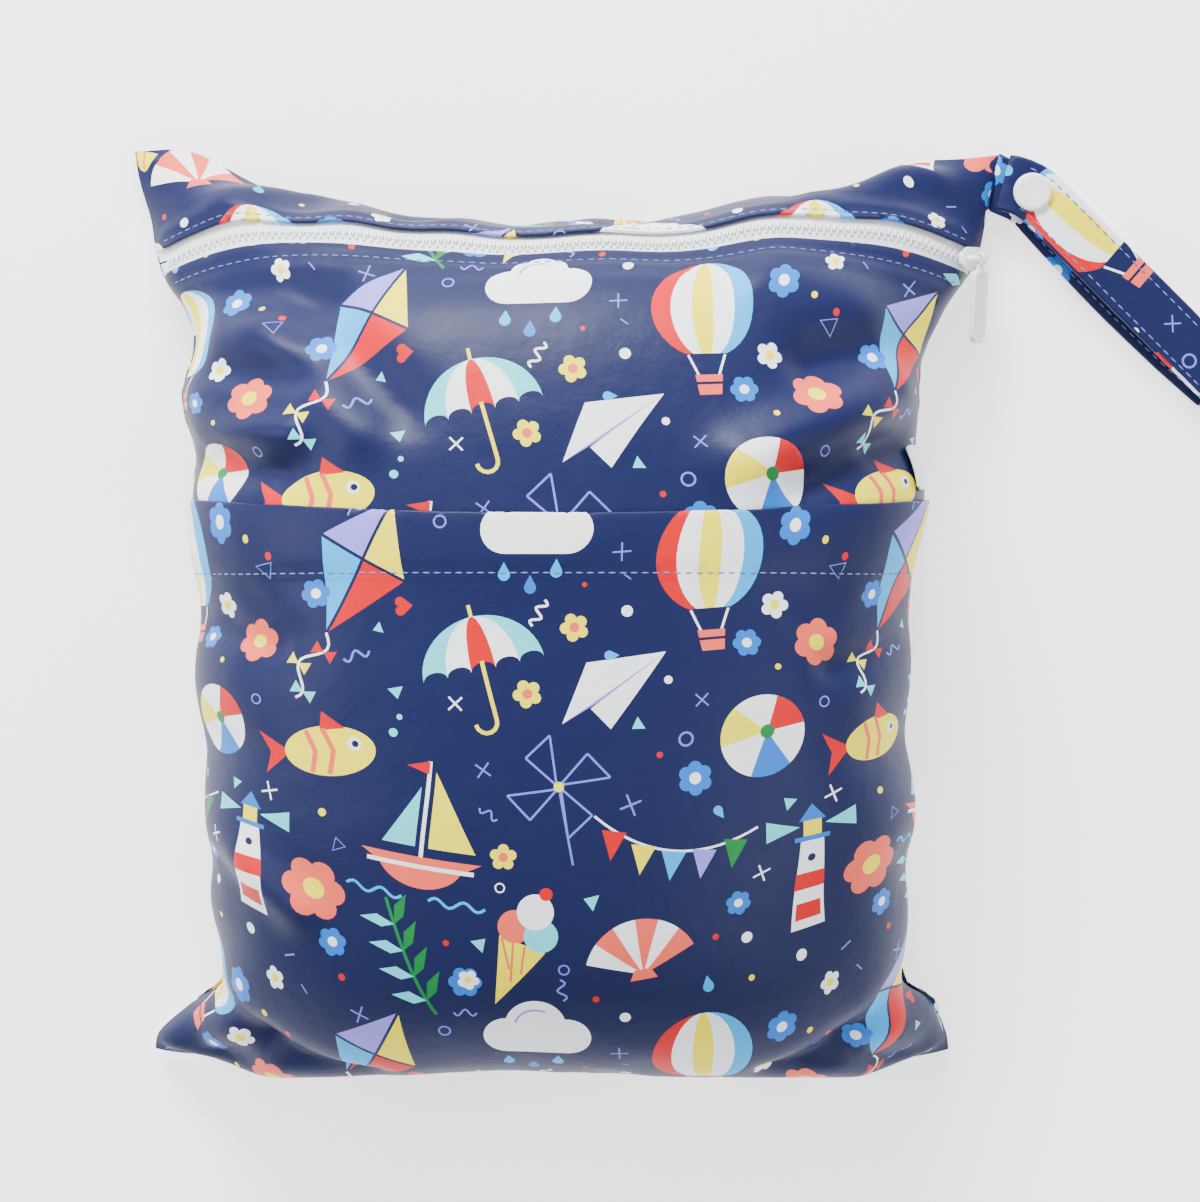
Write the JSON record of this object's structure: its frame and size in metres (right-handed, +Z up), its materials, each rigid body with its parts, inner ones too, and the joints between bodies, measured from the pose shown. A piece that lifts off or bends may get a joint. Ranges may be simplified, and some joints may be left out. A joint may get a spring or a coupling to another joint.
{
  "type": "cloth diaper wet bag",
  "caption": "Stuffed waterproof cloth bag with a zip below its top band, an open front pocket and a snap-closed carrying strap, lying on its back.",
  "frame": {"origin": "on the flat middle of the back, where the bag lies on the floor", "axes": "+X to the right across the bag as its front is seen, +Y towards the zip and top seam, +Z up out of the bulging front"},
  "size_m": [0.3836, 0.3128, 0.1072],
  "materials": {
    "printed_cloth": "printed satin-smooth polyester knit with a waterproof film behind it",
    "zip_tape": "white woven polyester tape",
    "zip_plastic": "white moulded and coated zip parts",
    "snap_plastic": "white moulded acetal snap",
    "tag_ribbon": "bare white satin ribbon"
  },
  "bodies": {
    "root": {"back_panel": "printed_cloth", "front_panel": "printed_cloth", "top_band": "printed_cloth", "front_pocket": "printed_cloth", "strap": "printed_cloth", "zip_tape_lower": "zip_tape", "zip_tape_upper": "zip_tape", "zip_coil": "zip_plastic", "zip_slider": "zip_plastic", "snap_cap": "snap_plastic", "snap_socket": "snap_plastic", "side_tag": "tag_ribbon"},
    "pull": {"zip_pull": "zip_plastic"}
  },
  "joints": [
    {"name": "pull_hinge", "type": "hinge", "parent": "root", "child": "pull", "pos_m": [0.14258, 0.12826, 0.02436], "axis": [-0.6321, 0, 0.7749], "range_deg": [-21, 195]}
  ]
}
